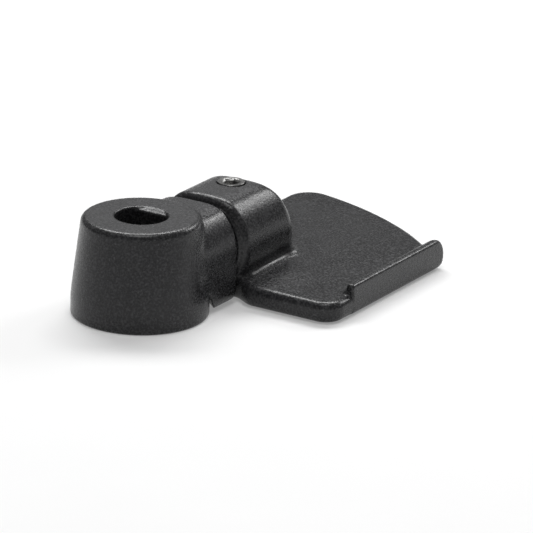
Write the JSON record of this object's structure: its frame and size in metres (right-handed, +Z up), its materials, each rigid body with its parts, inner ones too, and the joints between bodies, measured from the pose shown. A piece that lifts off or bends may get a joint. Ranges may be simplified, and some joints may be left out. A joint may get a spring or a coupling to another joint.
{
  "type": "folding kneading blade",
  "caption": "Folding kneading blade of a bread maker: a black coated hub drops over the D drive shaft and a hinged paddle swings up from it.",
  "frame": {"origin": "centre of the hub's base, on the drive axis", "axes": "+Z up the drive axis; +X along the pivot shaft, away from the hub; the blade lies toward -Y"},
  "size_m": [0.075, 0.0432, 0.018],
  "materials": {
    "coated_casting": "satin",
    "stainless": "satin",
    "ptfe": "matte",
    "silicone": "matte"
  },
  "bodies": {
    "hub_body": {"hub": "coated_casting", "base_seal": "silicone", "pivot_shaft": "stainless", "thrust_washer": "ptfe"},
    "blade_body": {"blade": "coated_casting", "grub_screw": "stainless"}
  },
  "joints": [
    {"name": "blade_fold", "type": "hinge", "parent": "hub_body", "child": "blade_body", "pos_m": [0.0145, -0.003, 0.00935], "axis": [-1, 0, 0], "range_deg": [0, 90]}
  ]
}
